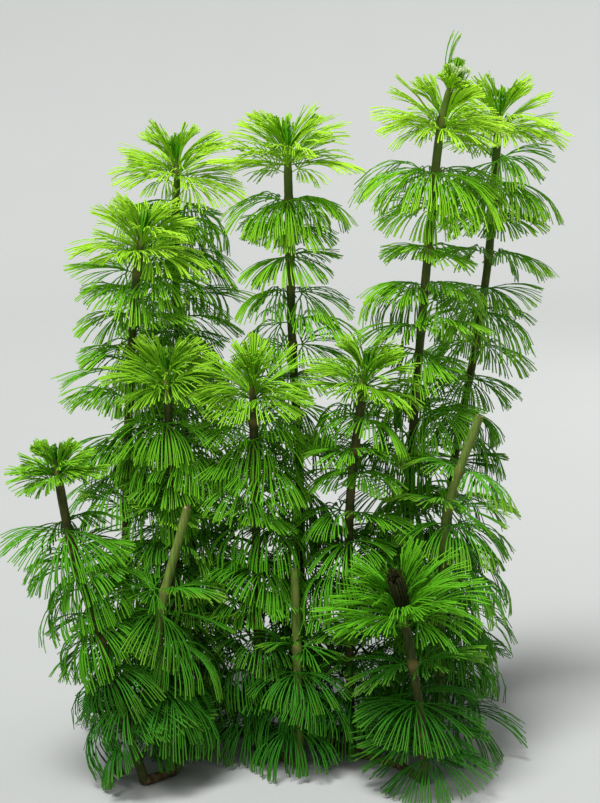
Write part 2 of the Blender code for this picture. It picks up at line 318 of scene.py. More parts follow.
# A stem: its foot's height, how many millimetres it reaches into the bud, how far the swellings at its joints
# and its foot reach, the share of the one at its foot, and how much it thins over which length.
STEM_FOOT = 1.5 * MM
BUD_REACH = 6
JOINT_LENGTH = 1.3 * MM
FOOT_LENGTH = 4 * MM
FOOT_SWELLING = 0.15
THINNING = 0.65
THINNING_LENGTH = 14 * MM

# The rings that close a trimmed stem: millimetres under the cut, the girth, and how much of a cut it is.
CUT_RINGS = (
    (0.35, 1.0, 0.0),
    (0.1, 1.02, 0.4),
    (0.0, 0.9, 0.5),
    (0.05, 0.72, 1.0),
)

# A runner: the reach and the share of its swelling at a shoot, the rings from scar to scar, a scar's depth,
# and the girth and the length of its rounded ends, as shares of its radius.
SWELL_LENGTH = 1.6 * MM
SWELL_SHARE = 0.06
SCAR_STEP = 4
SCAR_DEPTH = 0.04
END_GIRTH = 0.5
END_LENGTH = 0.6

# How deep the skins are dented.
STEM_DENTS = 0.3 * MM
RUNNER_DENTS = 0.5 * MM

# The finishes: their gloss, their reliefs' depths, the stretch of a stem's streaks, and small marks' colours.
GLOSS = 0.07
LEAF_RELIEF = 0.03 * MM
STEM_RELIEF = 0.12 * MM
ROOT_RELIEF = 0.35 * MM
FLOOR_RELIEF = 0.02 * MM
STREAK_STRETCH = (1.0, 1.0, 0.06)
STEM_FRESH = (0.14, 0.26, 0.03)
CUT_RIM = (0.07, 0.05, 0.02)
ROOT_GREEN = (0.10, 0.13, 0.03)

# Where leaves are damaged: the material, the centre, the radius, how far it has turned, and to what colour.
DAMAGE = (
    ("crown_leaf", (0.041, -0.008, 0.252), 0.005, 0.85, (0.25, 0.12, 0.03)),
    ("crown_leaf", (0.063, -0.008, 0.268), 0.0055, 0.9, (0.85, 0.9, 0.65)),
    ("upper_leaf", (0.064, -0.008, 0.27), 0.006, 0.9, (0.85, 0.9, 0.65)),
    ("bud_leaf", (0.036, -0.06, 0.078), 0.014, 0.94, (0.028, 0.02, 0.01)),
    ("bud_leaf", (0.035, -0.062, 0.084), 0.0016, 0.9, (0.42, 0.2, 0.12)),
)

# The camera looks from the photograph's side. Its focal length is in pixels of the picture.
CAMERA_PLACE = (0, -0.8, 0.272)
CAMERA_TILT = math.radians(81)
CAMERA_SHIFT = -0.03
SENSOR_HEIGHT = 36
FOCAL_PIXELS = 2060
PICTURE_HEIGHT = 803

# The lights: name, kind, place, size, which is an angle for a sun, power, and the point that it shines at.
LIGHTS = (
    ("top light", "SUN", (-0.2, -0.3, 1.0), math.radians(25), 4.3, (0, 0, 0.15)),
    ("front light", "AREA", (-0.65, -0.95, 0.5), 0.8, 2.2, (0, 0, 0.12)),
    ("back light", "AREA", (0.6, 0.75, 0.6), 0.7, 2.5, (0, 0, 0.15)),
)
WORLD_COLOUR = (0.86, 0.88, 0.9)
WORLD_STRENGTH = 0.26

# The floor is a flat disc, and its rim rises in a quarter circle up to a wall.
FLOOR_RADIUS = 1.4
SWEEP_RADIUS = 1.2
WALL_HEIGHT = 1.6 * SWEEP_RADIUS
SWEEP_STEPS = 12
FLOOR_SIDES = 64


class Value:
    """A socket of a node tree. Arithmetic on it adds Math nodes, so that a sum reads as one."""

    def __init__(self, nodes, socket):
        self.nodes = nodes
        self.socket = socket

    def output(self, name):
        return Value(self.nodes, self.socket.node.outputs[name])

    def math(self, operation, *values):
        return self.nodes.add("ShaderNodeMath", {"operation": operation}, dict(enumerate(values)))

    def __add__(self, value):
        return self.math("ADD", self, value)

    def __radd__(self, value):
        return self.math("ADD", value, self)

    def __sub__(self, value):
        return self.math("SUBTRACT", self, value)

    def __rsub__(self, value):
        return self.math("SUBTRACT", value, self)

    def __mul__(self, value):
        return self.math("MULTIPLY", self, value)

    def __rmul__(self, value):
        return self.math("MULTIPLY", value, self)

    def __truediv__(self, value):
        return self.math("DIVIDE", self, value)

    def __pow__(self, value):
        return self.math("POWER", self, value)

    def sin(self):
        return self.math("SINE", self)

    def cos(self):
        return self.math("COSINE", self)

    def clamped(self):
        return self.math("MINIMUM", self.math("MAXIMUM", self, 0.0), 1.0)

    def above(self, edge, width):
        """0 below the edge and 1 above it, across a soft step of this width."""
        return ((self - (edge - width / 2)) / width).clamped()


class Nodes:
    """A node tree, with one method that adds any node from its type, settings and sockets' values."""

    def __init__(self, tree):
        self.tree = tree

    def add(self, kind, settings=None, inputs=None, output=0):
        node = self.tree.nodes.new(kind)
        for name, value in (settings or {}).items():
            setattr(node, name, value)
        for key, value in (inputs or {}).items():
            if isinstance(value, Value):
                self.tree.links.new(value.socket, node.inputs[key])
            else:
                node.inputs[key].default_value = value
        return Value(self, node.outputs[output])

    def mix(self, factor, first, second, blend="MIX"):
        """A mixed colour. A plain colour is given as three numbers."""
        inputs = {0: factor}
        for key, colour in ((6, first), (7, second)):
            inputs[key] = colour if isinstance(colour, Value) else (*colour, 1)
        return self.add("ShaderNodeMix", {"data_type": "RGBA", "blend_type": blend}, inputs, 2)

    def vector(self, operation, first, second):
        return self.add("ShaderNodeVectorMath", {"operation": operation}, {0: first, 1: second})

    def scaled(self, vector, factor):
        return self.add("ShaderNodeVectorMath", {"operation": "SCALE"}, {0: vector, "Scale": factor})

    def combined(self, x, y, z):
        return self.add("ShaderNodeCombineXYZ", None, {0: x, 1: y, 2: z})

    def noise(self, place, scale, detail=2.0):
        return self.add("ShaderNodeTexNoise", None, {"Vector": place, "Scale": scale, "Detail": detail})


def colour_property(name, text, colour):
    return FloatVectorProperty(name=name, description=text, default=colour, subtype="COLOR", min=0, max=1)


def length_property(name, text, metres):
    return FloatProperty(name=name, description=text, default=metres, unit="LENGTH", min=0, precision=5)


class FanwortLeafSettings(bpy.types.PropertyGroup):
    width: length_property("Segment width", "Width of one fine leaf segment", 0.64 * MM)
    thickness: length_property("Segment thickness", "Thickness of one fine leaf segment", 0.36 * MM)
    wave: length_property("Wave", "How far the segments wave together at their tips", 1.6 * MM)
    stray: length_property("Stray", "How far a single segment strays from its leaf at its tip", 0.9 * MM)
    sway: FloatProperty(
        name="Sway", description="How far a leaf turns from its place", default=0.22, unit="ROTATION"
    )
    seed: IntProperty(name="Seed", description="Seed of everything random in the leaves", default=7, min=0)


class FanwortStemSettings(bpy.types.PropertyGroup):
    radius: length_property("Stem radius", "Radius of a stem between two joints", 1.7 * MM)
    joint: length_property("Joint swelling", "How far a joint stands out from the stem", 0.45 * MM)
    ring_step: length_property("Ring step", "Distance between two rings of a stem's mesh", 1.5 * MM)
    sides: IntProperty(name="Sides", description="Sides of a stem's mesh", default=14, min=6)


class FanwortColours(bpy.types.PropertyGroup):
    # The greens darken from young to old down the clump: partly their own colour, partly painted shade.
    young: colour_property("Young leaf", "Lime green of the young leaves at the top", (0.46, 0.8, 0.035))
    fresh: colour_property("Fresh leaf", "Bright green of the highest leaf pairs", (0.24, 0.62, 0.012))
    grown: colour_property("Grown leaf", "Green of the leaves halfway up", (0.13, 0.46, 0.012))
    old: colour_property("Old leaf", "Deep green of the lowest leaves", (0.035, 0.19, 0.01))
    # Painted highlight: the pale green of the segments' tips where the top light catches them.
    tip: colour_property("Tip", "Pale green of the tips of the segments", (0.6, 0.92, 0.07))
    stem: colour_property("Stem", "Dark olive of the stems", (0.04, 0.055, 0.014))
    joint: colour_property("Joint", "Tan of the joints", (0.2, 0.15, 0.05))
    stump: colour_property("Stump", "Olive green of the trimmed stems", (0.125, 0.19, 0.035))
    cut: colour_property("Cut", "Pale tan of a trimmed stem's cut face", (0.46, 0.44, 0.2))
    root: colour_property("Rootstock", "Brown of the rootstock", (0.13, 0.09, 0.045))
    floor: colour_property("Floor", "Pale grey of the floor", (0.42, 0.43, 0.42))


def choices(name):
    return getattr(bpy.context.scene, name)


def centre_line(points, height):
    """The stem's centre at this height and its direction there, on a smooth curve through the points."""
    places = [Vector(point) * MM for point in points]
    slopes = []
    for i in range(len(places)):
        before = places[max(0, i - 1)]
        after = places[min(len(places) - 1, i + 1)]
        slopes.append((after - before) / (after.z - before.z))
    i = min(len(places) - 2, max(0, sum(place.z <= height for place in places) - 1))
    start, end = places[i], places[i + 1]
    rise = end.z - start.z
    t = (height - start.z) / rise
    if t > 1:
        return end + slopes[i + 1] * (height - end.z), slopes[i + 1].normalized()
    place = (
        start * (2 * t**3 - 3 * t**2 + 1)
        + slopes[i] * rise * (t**3 - 2 * t**2 + t)
        + end * (3 * t**2 - 2 * t**3)
        + slopes[i + 1] * rise * (t**3 - t**2)
    )
    slope = (
        (end - start) / rise * (6 * t - 6 * t**2)
        + slopes[i] * (3 * t**2 - 4 * t + 1)
        + slopes[i + 1] * (3 * t**2 - 2 * t)
    )
    return place, slope.normalized()


def leaning(direction, height):
    """The direction, leaned a little to a side that turns with height, because no pair sits quite square."""
    turn = GOLDEN_TURN * height / MM
    return (direction + PAIR_LEAN * Vector((math.cos(turn), math.sin(turn), 0))).normalized()


def put_attribute(mesh, name, values):
    made = mesh.attributes.new(name, "FLOAT", "POINT")
    made.data.foreach_set("value", np.array(values, np.float32))


def add_object(name, data):
    made = bpy.data.objects.new(name, data)
    bpy.context.scene.collection.objects.link(made)
    return made


def apply_tree(piece, tree, values):
    """Runs a Geometry Nodes tree on the piece with these inputs, and keeps the result as a plain mesh."""
    modifier = piece.modifiers.new(tree.name, "NODES")
    modifier.node_group = tree
    for item in tree.interface.items_tree:
        if item.name in values:
            modifier[item.identifier] = values[item.name]
    evaluated = piece.evaluated_get(bpy.context.evaluated_depsgraph_get())
    mesh = bpy.data.meshes.new_from_object(evaluated)
    piece.modifiers.clear()
    piece.data = mesh
    return piece


def joined(name, parts):
    """The parts as one mesh object of this name."""
    bpy.ops.object.select_all(action="DESELECT")
    for part in parts:
        part.select_set(True)
    bpy.context.view_layer.objects.active = parts[0]
    if len(parts) > 1:
        bpy.ops.object.join()
    parts[0].name = name
    parts[0].data.name = name
    return parts[0]


def settle(piece, node):
    """Puts the piece under the body in the place of a plain solid, and hides that solid."""
    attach(piece, BODY)
    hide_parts(node)


def new_tree(name, inputs):
    """A Geometry Nodes tree with these inputs by kind: its nodes, its geometry and its inputs' values."""
    tree = bpy.data.node_groups.new(name, "GeometryNodeTree")
    tree.interface.new_socket("Geometry", in_out="INPUT", socket_type="NodeSocketGeometry")
    tree.interface.new_socket("Geometry", in_out="OUTPUT", socket_type="NodeSocketGeometry")
    titles = []
    for kind, group in inputs.items():
        for title in group:
            tree.interface.new_socket(title, in_out="INPUT", socket_type="NodeSocket" + kind)
            titles.append(title)
    nodes = Nodes(tree)
    given = nodes.add("NodeGroupInput")
    return nodes, given, {title: given.output(title) for title in titles}


def close_tree(nodes, body, material):
    """Ends a tree with real, smooth faces of this material."""
    body = nodes.add("GeometryNodeSetShadeSmooth", None, {0: body})
    body = nodes.add("GeometryNodeRealizeInstances", None, {0: body})
    body = nodes.add("GeometryNodeSetMaterial", None, {0: body, "Material": material})
    result = nodes.tree.nodes.new("NodeGroupOutput")
    nodes.tree.links.new(body.socket, result.inputs[0])
    return nodes.tree


def ready_tree(name, build):
    """The tree of this name, built if there is none yet."""
    return bpy.data.node_groups.get(name) or build()


def named(nodes, name, kind="FLOAT"):
    return nodes.add("GeometryNodeInputNamedAttribute", {"data_type": kind}, {"Name": name})


def stored(nodes, geometry, name, value, domain="POINT", kind="FLOAT"):
    inputs = {0: geometry, "Name": name, "Value": value}
    return nodes.add("GeometryNodeStoreNamedAttribute", {"data_type": kind, "domain": domain}, inputs)


def leaf_tree():
    """Sets copies of a flat leaf round a joint, arches them like the solid and gives them their bodies."""
    nodes, given, value = new_tree(LEAF_TREE, {
        "Int": ("Leaves", "Seed"),
        "Float": (
            "Heading", "Length", "Start slope", "End slope", "Other size", "Width", "Thickness", "Wave",
            "Stray", "Sway", "Variety",
        ),
        "Material": ("Material",),
    })

    def chance(spread, number, shift):
        inputs = {2: -spread, 3: spread, "ID": number, "Seed": value["Seed"] + shift}
        return nodes.add("FunctionNodeRandomValue", None, inputs, 1)

    curves = nodes.add("GeometryNodeMeshToCurve", None, {0: given})
    amount = {0: curves, "Amount": value["Leaves"]}
    copies = nodes.add("GeometryNodeDuplicateElements", {"domain": "SPLINE"}, amount)
    leaf = copies.output("Duplicate Index")
    copies = stored(nodes, copies, "strand", chance(1.0, nodes.add("GeometryNodeInputIndex"), 11), "CURVE")
    strand = named(nodes, "strand")

    flat = nodes.add("ShaderNodeSeparateXYZ", None, {0: nodes.add("GeometryNodeInputPosition")})
    x = flat
    y = flat.output("Y")
    lift = flat.output("Z")
    share = (x * x + y * y) ** 0.5 / value["Length"]
    around = value["Heading"] + leaf * (2 * math.pi) / value["Leaves"] + value["Sway"] * chance(1.0, leaf, 1)
    angle = x.math("ARCTAN2", y, x)
    around = around + angle
    size = 1 + leaf.math("MODULO", leaf, 2.0) * (value["Other size"] - 1)
    size = size * (1 + value["Variety"] * chance(SIZE_VARIETY, leaf, 5))
    roll = value["Variety"] * chance(ROLL_VARIETY, leaf, 4) * angle.sin()
    start = value["Start slope"] + value["Variety"] * chance(START_VARIETY, leaf, 2) + roll
    end = value["End slope"] + value["Variety"] * chance(END_VARIETY, leaf, 3) + roll
    slope = start + (end - start) * share
    radius = value["Length"] * size / (start - end)
    out = radius * (start.sin() - slope.sin())
    up = radius * (slope.cos() - start.cos())
    place = nodes.combined(out * around.cos(), out * around.sin(), up)
    level = slope.sin() * -1.0
    facing = nodes.combined(level * around.cos(), level * around.sin(), slope.cos())

    apart = nodes.vector("MULTIPLY", nodes.combined(leaf, value["Seed"], value["Seed"]), WAVE_STEPS)
    waves = nodes.noise(nodes.vector("ADD", place, apart), 60.0, 1.0).output("Color")
    waves = nodes.scaled(nodes.vector("SUBTRACT", waves, (0.5, 0.5, 0.5)), value["Wave"] * 2.0 * share**1.5)
    loose = named(nodes, "loose")
    strays = nodes.scaled(facing, value["Stray"] * strand * loose * loose + lift)
    copies = stored(nodes, copies, "facing", facing, "POINT", "FLOAT_VECTOR")
    place = nodes.vector("ADD", place, nodes.vector("ADD", waves, strays))
    bent = nodes.add("GeometryNodeSetPosition", None, {0: copies, "Position": place})
    facing = named(nodes, "facing", "FLOAT_VECTOR")
    bent = nodes.add("GeometryNodeSetCurveNormal", {"mode": "FREE"}, {0: bent, "Normal": facing})
    ring = nodes.add("GeometryNodeCurvePrimitiveCircle", None, {"Resolution": 3, "Radius": 1.0})
    section = nodes.combined(value["Thickness"] * 0.5, value["Width"] * 0.5, 1.0)
    ring = nodes.add("GeometryNodeTransform", None, {0: ring, "Scale": section})
    sweep = {0: bent, 1: ring, "Scale": named(nodes, "girth"), "Fill Caps": True}
    body = nodes.add("GeometryNodeCurveToMesh", None, sweep)
    body = nodes.add("GeometryNodeRemoveAttribute", None, {0: body, "Name": "facing"})
    return close_tree(nodes, body, value["Material"])


def stem_tree():
    """Sweeps a round section along a stem or a runner, dents it a little and keeps it off the floor."""
    nodes, given, value = new_tree(STEM_TREE, {
        "Float": ("Radius", "Dents"),
        "Int": ("Sides",),
        "Material": ("Material",),
    })
    curves = nodes.add("GeometryNodeMeshToCurve", None, {0: given})
    circle = {"Resolution": value["Sides"], "Radius": value["Radius"]}
    ring = nodes.add("GeometryNodeCurvePrimitiveCircle", None, circle)
    sweep = {0: curves, 1: ring, "Scale": named(nodes, "girth"), "Fill Caps": True}
    body = nodes.add("GeometryNodeCurveToMesh", None, sweep)
    place = nodes.add("GeometryNodeInputPosition")
    dents = nodes.noise(place, 260.0, 1.0).output("Color")
    dents = nodes.scaled(nodes.vector("SUBTRACT", dents, (0.5, 0.5, 0.5)), value["Dents"])
    place = nodes.vector("MAXIMUM", nodes.vector("ADD", place, dents), (-1.0, -1.0, 0.0))
    body = nodes.add("GeometryNodeSetPosition", None, {0: body, "Position": place})
    return close_tree(nodes, body, value["Material"])


def fan_paths(fan, arch, size, rng):
    """Paths of one flat leaf that points along X: a route, its girth at both ends, and 1 if its end is free.

    Each ray forks in two again and again. Its parts stay bunched, and rise or fall a little from the sheet.
    """
    length = arch.length * size
    stalk = fan.stalk * length
    reach = length - stalk
    opening = math.radians(fan.opening)
    share = 2 * opening / fan.rays
    levels = len(fan.forks)
    stalk_route = [(STEM_RADIUS * 0.7, 0, 0), (stalk * 0.6, 0, 0), (stalk, 0, 0)]
    paths = [(stalk_route, STALK_GIRTH, FORK_GIRTHS[0], 0)]

    def grow(level, start, start_angle, angle, part, height, rise):
        last = level == levels or (level == levels - 1 and rng.random() < UNFORKED_SHARE)
        if last:
            end = reach * (1 - EDGE_ROUNDING * (angle / opening) ** 2) * rng.uniform(*TIP_REACH)
            if rng.random() < SHORT_SHARE:
                end *= rng.uniform(*SHORT_REACH)
        else:
            end = reach * fan.forks[level] * rng.uniform(*FORK_REACH)
        steps = TIP_STEPS if last else 1
        rise += rng.uniform(-1, 1) * RAY_LIFTS[level]
        route = []
        for k in range(steps + 1):
            along = k / steps
            bent = angle + (start_angle - angle) * (1 - along) ** 2
            out = start + (end - start) * along
            route.append((stalk + out * math.cos(bent), out * math.sin(bent), height + rise * (out - start)))
        girth = FORK_GIRTHS[level + len(FORK_GIRTHS) - 1 - levels]
        paths.append((route, girth, TIP_GIRTH if last else girth, int(last)))
        if not last:
            for side in (-0.25, 0.25):
                turned = angle + (side * BUNCHING[level] + rng.uniform(-FORK_STRAY, FORK_STRAY)) * part
                grow(level + 1, end, angle, turned, part / 2, height + rise * (end - start), rise)

    for ray in range(fan.rays):
        angle = -opening + (ray + 0.5) * share
        grow(0, 0.0, angle * RAY_START, angle + rng.uniform(-RAY_STRAY, RAY_STRAY) * share, share, 0.0, 0.0)
    return paths


def path_mesh(name, paths, length):
    """The paths as loose edges, whose points say how thick, how far along and how loose the leaf is."""
    points = []
    edges = []
    girths = []
    loose = []
    for route, start_girth, end_girth, free in paths:
        first = len(points)
        for k, point in enumerate(route):
            along = k / (len(route) - 1)
            points.append(point)
            girths.append(start_girth + (end_girth - start_girth) * along)
            loose.append(free * along)
        edges += [(first + k, first + k + 1) for k in range(len(route) - 1)]
    mesh = bpy.data.meshes.new(name)
    mesh.from_pydata(points, edges, [])
    put_attribute(mesh, "girth", girths)
    put_attribute(mesh, "loose", loose)
    put_attribute(mesh, "along", [math.hypot(x, y) / length for x, y, z in points])
    return mesh


def grow_tier(fan, arch, size, leaves, heading, place, direction, material, seed, variety, other=1.0):
    """One ring of leaves round a joint. Its first leaf heads to this side, and its second may be smaller."""
    length = arch.length * size
    tier = add_object("tier", path_mesh("tier", fan_paths(fan, arch, size, random.Random(seed)), length))
    turn = direction.to_track_quat("Z", "Y").to_matrix()
    side = turn.inverted() @ Vector((math.cos(heading), math.sin(heading), 0))
    leaf = choices("fanwort_leaf")
    apply_tree(tier, ready_tree(LEAF_TREE, leaf_tree), {
        "Leaves": leaves,
        "Heading": math.atan2(side.y, side.x),
        "Length": length,
        "Start slope": math.radians(arch.start),
        "End slope": math.radians(arch.end),
        "Other size": other,
        "Width": leaf.width,
        "Thickness": leaf.thickness,
        "Wave": leaf.wave,
        "Stray": leaf.stray,
        "Sway": leaf.sway,
        "Variety": variety,
        "Seed": seed + leaf.seed,
        "Material": material,
    })
    tier.data.transform(Matrix.Translation(place) @ turn.to_4x4())
    keep_above_ground(tier.data)
    return tier


def keep_above_ground(mesh):
    """Presses what hangs lowest together, so that it ends just over the ground."""
    places = np.empty(len(mesh.vertices) * 3, np.float32)
    mesh.vertices.foreach_get("co", places)
    heights = places[2::3]
    low = heights < GROUND_ROOM
    heights[low] = GROUND_ROOM * np.exp(heights[low] / GROUND_ROOM - 1)
    mesh.vertices.foreach_set("co", places)


def seeds():
    """A fixed seed for every shoot, in their order."""
    return {name: SHOOT_SEED * number for number, name in enumerate(SHOOTS, 1)}


def surface(name, colour, pattern, spread, least, bump, depth):
    """A material with a colour, a roughness that follows a pattern, and a relief that follows a height."""
    material = bpy.data.materials.new(name)
    material.use_nodes = True
    nodes = Nodes(material.node_tree)
    shader = material.node_tree.nodes["Principled BSDF"]
    place = nodes.add("ShaderNodeTexCoord").output("Object")
    height = bump(nodes, place)
    relief = nodes.add("ShaderNodeBump", None, {"Strength": 1.0, "Distance": depth, "Height": height})
    roughness = pattern(nodes, place) * spread + least
    values = {"Base Color": colour(nodes, place), "Roughness": roughness, "Normal": relief}
    for socket, value in values.items():
        material.node_tree.links.new(value.socket, shader.inputs[socket])
    shader.inputs["Specular IOR Level"].default_value = GLOSS
    return material


def grain(scale, detail=2.0):
    """A pattern of noise of this scale."""
    return lambda nodes, place: nodes.noise(place, scale, detail)


def shown(nodes, name):
    """The number that the piece carries in the attribute of this name."""
    return nodes.add("ShaderNodeAttribute", {"attribute_name": name}, None, 2)


def height_of(nodes, place):
    return nodes.add("ShaderNodeSeparateXYZ", None, {0: place}).output("Z")


def near(nodes, place, centre, radius):
    """1 within this radius of a place and 0 outside it."""
    away = nodes.add("ShaderNodeVectorMath", {"operation": "DISTANCE"}, {0: place, 1: centre}, 1)
    return 1 - away.above(radius, radius * 0.7)


def between(first, second, share):
    """The colour that lies this share of the way from the first to the second."""
    return tuple(a + (b - a) * share for a, b in zip(first, second))


def shade(colour, factor):
    """The colour made darker or lighter by this factor."""
    return tuple(part * factor for part in colour)


def leaf_material(name, low, high, bottom, top):
    """Leaf green that brightens from the bottom height to the top one and differs between the segments."""
    colours = choices("fanwort_colours")

    def colour(nodes, place):
        along = shown(nodes, "along")
        strand = shown(nodes, "strand")
        # Brighter with height: partly the young leaves' own lime, partly painted shade on the lower leaves.
        rise = height_of(nodes, place).above((bottom + top) / 2, top - bottom)
        base = nodes.mix(rise, low, high)
        base = nodes.mix(strand * 0.22 + 0.22, base, nodes.mix(0.5, low, base))
        patches = nodes.noise(place, 45.0)
        base = nodes.mix(patches.above(0.5, 0.35) * 0.4, base, (0.55, 0.7, 0.5), "MULTIPLY")
        # Darker near the stem: painted shade among the segments, partly the leaf's own darker base.
        base = nodes.mix((1 - along.above(0.3, 0.7)) * 0.4, base, (0.45, 0.6, 0.4), "MULTIPLY")
        # Painted highlight: tips paler, more so higher up, where the top light catches the segments.
        base = nodes.mix(along.above(0.85, 0.4) * (rise * 0.4 + 0.06), base, colours.tip)
        for finish, centre, radius, turned, damaged in DAMAGE:
            if finish == name:
                base = nodes.mix(near(nodes, place, centre, radius) * turned, base, damaged)
        return base

    return surface(name, colour, grain(400.0), 0.2, 0.38, grain(1500.0, 1.0), LEAF_RELIEF)


def stem_material(name, skin, joint):
    """Stem skin with fine streaks along it, paler at the joints, and at a cut pale inside a dark rim."""
    colours = choices("fanwort_colours")

    def streaks(nodes, place):
        return nodes.noise(nodes.vector("MULTIPLY", place, STREAK_STRETCH), 1400.0, 3.0)

    def colour(nodes, place):
        base = nodes.mix(streaks(nodes, place).above(0.5, 0.4), shade(skin, 0.6), shade(skin, 1.45))
        mottled = nodes.noise(place, 160.0, 3.0).above(0.56, 0.2)
        base = nodes.mix(mottled * 0.4, base, joint)
        base = nodes.mix(shown(nodes, "joint") * 0.85, base, joint)
        fresh = height_of(nodes, place).above(0.19, 0.12)
        base = nodes.mix(fresh * 0.45, base, STEM_FRESH)
        cut = shown(nodes, "cut")
        base = nodes.mix(cut.above(0.35, 0.3), base, CUT_RIM)
        return nodes.mix(cut.above(0.8, 0.2), base, colours.cut)

    return surface(name, colour, streaks, 0.3, 0.35, streaks, STEM_RELIEF)


def root_material(name):
    """Brown bark with a fine grain, dark scars and green patches."""
    root = choices("fanwort_colours").root
    bark = grain(420.0, 5.0)

    def colour(nodes, place):
        base = nodes.mix(bark(nodes, place).above(0.5, 0.3), shade(root, 0.5), shade(root, 1.5))
        base = nodes.mix(shown(nodes, "joint") * 0.7, base, shade(root, 0.45))
        green = nodes.noise(place, 90.0).above(0.6, 0.15)
        return nodes.mix(green * 0.4, base, ROOT_GREEN)

    return surface(name, colour, bark, 0.25, 0.55, bark, ROOT_RELIEF)


def floor_material():
    """Pale matt grey with a faint grain."""
    floor = choices("fanwort_colours").floor

    def colour(nodes, place):
        return nodes.mix(nodes.noise(place, 9.0, 3.0), shade(floor, 0.97), floor)

    return surface("floor", colour, grain(30.0), 0.1, 0.7, grain(900.0), FLOOR_RELIEF)


def rod(name, rings, radius, sides, dents, material):
    """A stem or runner along its rings: each a place, a girth, how much of a joint and how much of a cut."""
    mesh = bpy.data.meshes.new(name)
    mesh.from_pydata([ring[0] for ring in rings], [(k, k + 1) for k in range(len(rings) - 1)], [])
    for k, title in enumerate(("girth", "joint", "cut"), 1):
        put_attribute(mesh, title, [ring[k] for ring in rings])
    return apply_tree(add_object(name, mesh), ready_tree(STEM_TREE, stem_tree), {
        "Radius": radius,
        "Sides": sides,
        "Dents": dents,
        "Material": material,
    })


class FANWORT_OT_stage(bpy.types.Operator):
    """Set up the camera, the lights, the pale world and the floor"""

    bl_idname = "fanwort.stage"
    bl_label = "Stage"

    def execute(self, context):
        context.scene.camera = self.camera()
        for name, kind, place, size, power, aim in LIGHTS:
            light = bpy.data.lights.new(name, kind)
            setattr(light, "angle" if kind == "SUN" else "size", size)
            light.energy = power
            lamp = add_object(name, light)
            lamp.location = place
            lamp.rotation_euler = (Vector(aim) - Vector(place)).to_track_quat("-Z", "Y").to_euler()
        world = bpy.data.worlds.new("studio")
        world.use_nodes = True
        background = world.node_tree.nodes["Background"]
        background.inputs["Color"].default_value = (*WORLD_COLOUR, 1)
        background.inputs["Strength"].default_value = WORLD_STRENGTH
        context.scene.world = world
        context.scene.view_settings.view_transform = "Standard"
        add_object("floor", self.bowl())
        return {"FINISHED"}

    def camera(self):
        """The camera, level with the plant's top and tilted down a little."""
        camera = bpy.data.cameras.new("camera")
        camera.sensor_fit = "VERTICAL"
        camera.sensor_height = SENSOR_HEIGHT
        camera.lens = SENSOR_HEIGHT * FOCAL_PIXELS / PICTURE_HEIGHT
        camera.shift_y = CAMERA_SHIFT
        viewer = add_object("camera", camera)
        viewer.location = CAMERA_PLACE
        viewer.rotation_euler = (CAMERA_TILT, 0, 0)
        return viewer

    def bowl(self):
        """A flat round floor whose rim rises in one smooth sweep, so that no edge shows behind the plant."""
        profile = []
        for k in range(SWEEP_STEPS + 1):
            turn = math.radians(90 * k / SWEEP_STEPS)
            out = FLOOR_RADIUS + SWEEP_RADIUS * math.sin(turn)
            profile.append((out, SWEEP_RADIUS * (1 - math.cos(turn))))
        profile.append((FLOOR_RADIUS + SWEEP_RADIUS, WALL_HEIGHT))
        points = [(0, 0, 0)]
        for out, up in profile:
            for k in range(FLOOR_SIDES):
                turn = 2 * math.pi * k / FLOOR_SIDES
                points.append((out * math.cos(turn), out * math.sin(turn), up))
        faces = [(0, 1 + k, 1 + (k + 1) % FLOOR_SIDES) for k in range(FLOOR_SIDES)]
        for ring in range(len(profile) - 1):
            first = 1 + ring * FLOOR_SIDES
            next_ring = first + FLOOR_SIDES
            for k in range(FLOOR_SIDES):
                after = (k + 1) % FLOOR_SIDES
                faces.append((first + k, next_ring + k, next_ring + after, first + after))
        mesh = bpy.data.meshes.new("floor")
        mesh.from_pydata(points, [], faces)
        mesh.shade_smooth()
        mesh.materials.append(floor_material())
        return mesh


class FANWORT_OT_rootstock(bpy.types.Operator):
    """Lay the creeping rootstock that the stems rise from"""

    bl_idname = "fanwort.rootstock"
    bl_label = "Rootstock"

    def execute(self, context):
        stem = choices("fanwort_stem")
        material = root_material("rootstock")
        parts = []
        for number, points in enumerate(RUNNERS):
            places = [Vector((x, y, 0)) * MM + Vector((0, 0, RUNNER_HEIGHT)) for x, y in points]
            radius = RUNNER_RADIUS * (1 - RUNNER_TAPER * number)
            rings = self.rings(places, radius, stem.ring_step)
            parts.append(rod("runner", rings, radius, stem.sides, RUNNER_DENTS, material))
        settle(joined("rootstock_bark", parts), "rootstock")
        return {"FINISHED"}

    def rings(self, places, radius, step):
        """Rings of one runner, swollen at the shoots' feet, with scars between them and rounded ends."""
        rings = []
        for start, end in zip(places, places[1:]):
            count = max(4, round((end - start).length / step))
            for k in range(count):
                gap = min(k, count - k) * step
                swell = math.exp(-((gap / SWELL_LENGTH) ** 2))
                scarred = float(k % SCAR_STEP == 0)
                girth = 1 - SWELL_SHARE * (1 - swell) - SCAR_DEPTH * scarred
                rings.append((start.lerp(end, k / count), girth, scarred, 0.0))
        first = (places[0] - places[1]).normalized() * radius * END_LENGTH
        last = (places[-1] - places[-2]).normalized() * radius * END_LENGTH
        rings.insert(0, (places[0] + first, END_GIRTH, 0.0, 0.0))
        rings.append((places[-1], 1.0, 0.0, 0.0))
        rings.append((places[-1] + last, END_GIRTH, 0.0, 0.0))
        return rings


